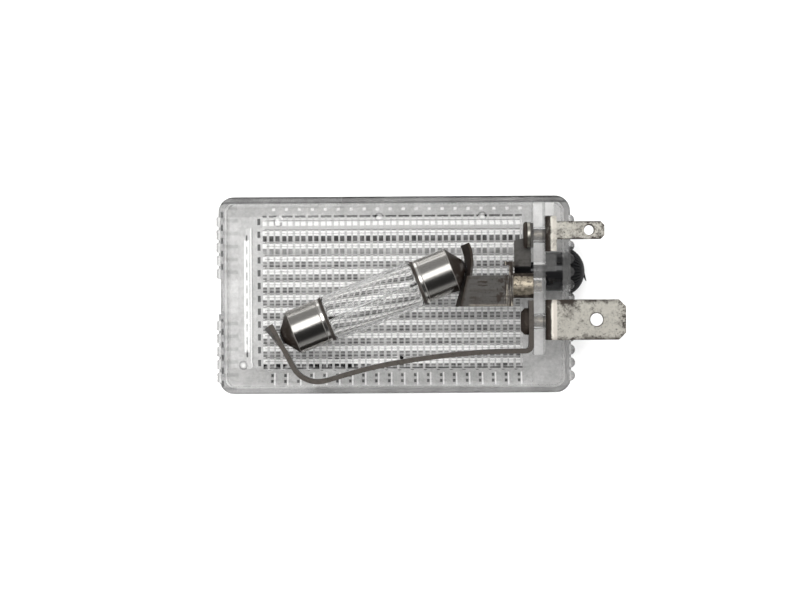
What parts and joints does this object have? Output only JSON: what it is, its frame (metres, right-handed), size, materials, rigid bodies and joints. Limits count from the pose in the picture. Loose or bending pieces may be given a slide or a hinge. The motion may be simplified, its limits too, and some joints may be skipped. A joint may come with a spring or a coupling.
{
  "type": "car map light",
  "caption": "Clear moulded car map light with a diagonal festoon bulb, riveted sprung contacts, spade tabs and a black turning knob.",
  "frame": {"origin": "middle of the lens's front face, on which the lamp lies", "axes": "+X along the lens towards the knob and the tabs, +Y across it towards the small tab, +Z out of the open back"},
  "size_m": [0.0641, 0.0308, 0.0133],
  "materials": {
    "clear_plastic": "clear moulded",
    "knob_plastic": "moulded, fine ribs",
    "contact_metal": "dull plated, scratched",
    "strip_metal": "dull, browned",
    "tab_metal": "tinned, tarnished",
    "rivet_brass": "tarnished",
    "bulb_glass": "clear",
    "cap_metal": "nickel plated",
    "wire_metal": "drawn",
    "solder": "dull"
  },
  "bodies": {
    "housing": {"lens_housing": "clear_plastic", "switch_leaf": "contact_metal", "contact_bracket": "contact_metal", "long_contact_strip": "strip_metal", "large_tab_terminal": "tab_metal", "small_tab_terminal": "tab_metal", "large_rivet": "rivet_brass", "small_rivet": "rivet_brass", "centre_rivet": "rivet_brass", "spacer_bush": "rivet_brass", "rivet_washer": "tab_metal", "bulb_glass": "bulb_glass", "bulb_cap_left": "cap_metal", "bulb_cap_right": "cap_metal", "lead_wire_left": "wire_metal", "lead_wire_right": "wire_metal", "solder_tip_left": "solder", "solder_tip_right": "solder", "filament": "wire_metal"},
    "knob": {"switch_knob": "knob_plastic", "switch_cam": "knob_plastic"}
  },
  "joints": [
    {"name": "knob_turn", "type": "hinge", "parent": "housing", "child": "knob", "pos_m": [0.0226, 0.00354, 0.0053], "axis": [1, 0, 0], "range_deg": [0, 90]}
  ]
}
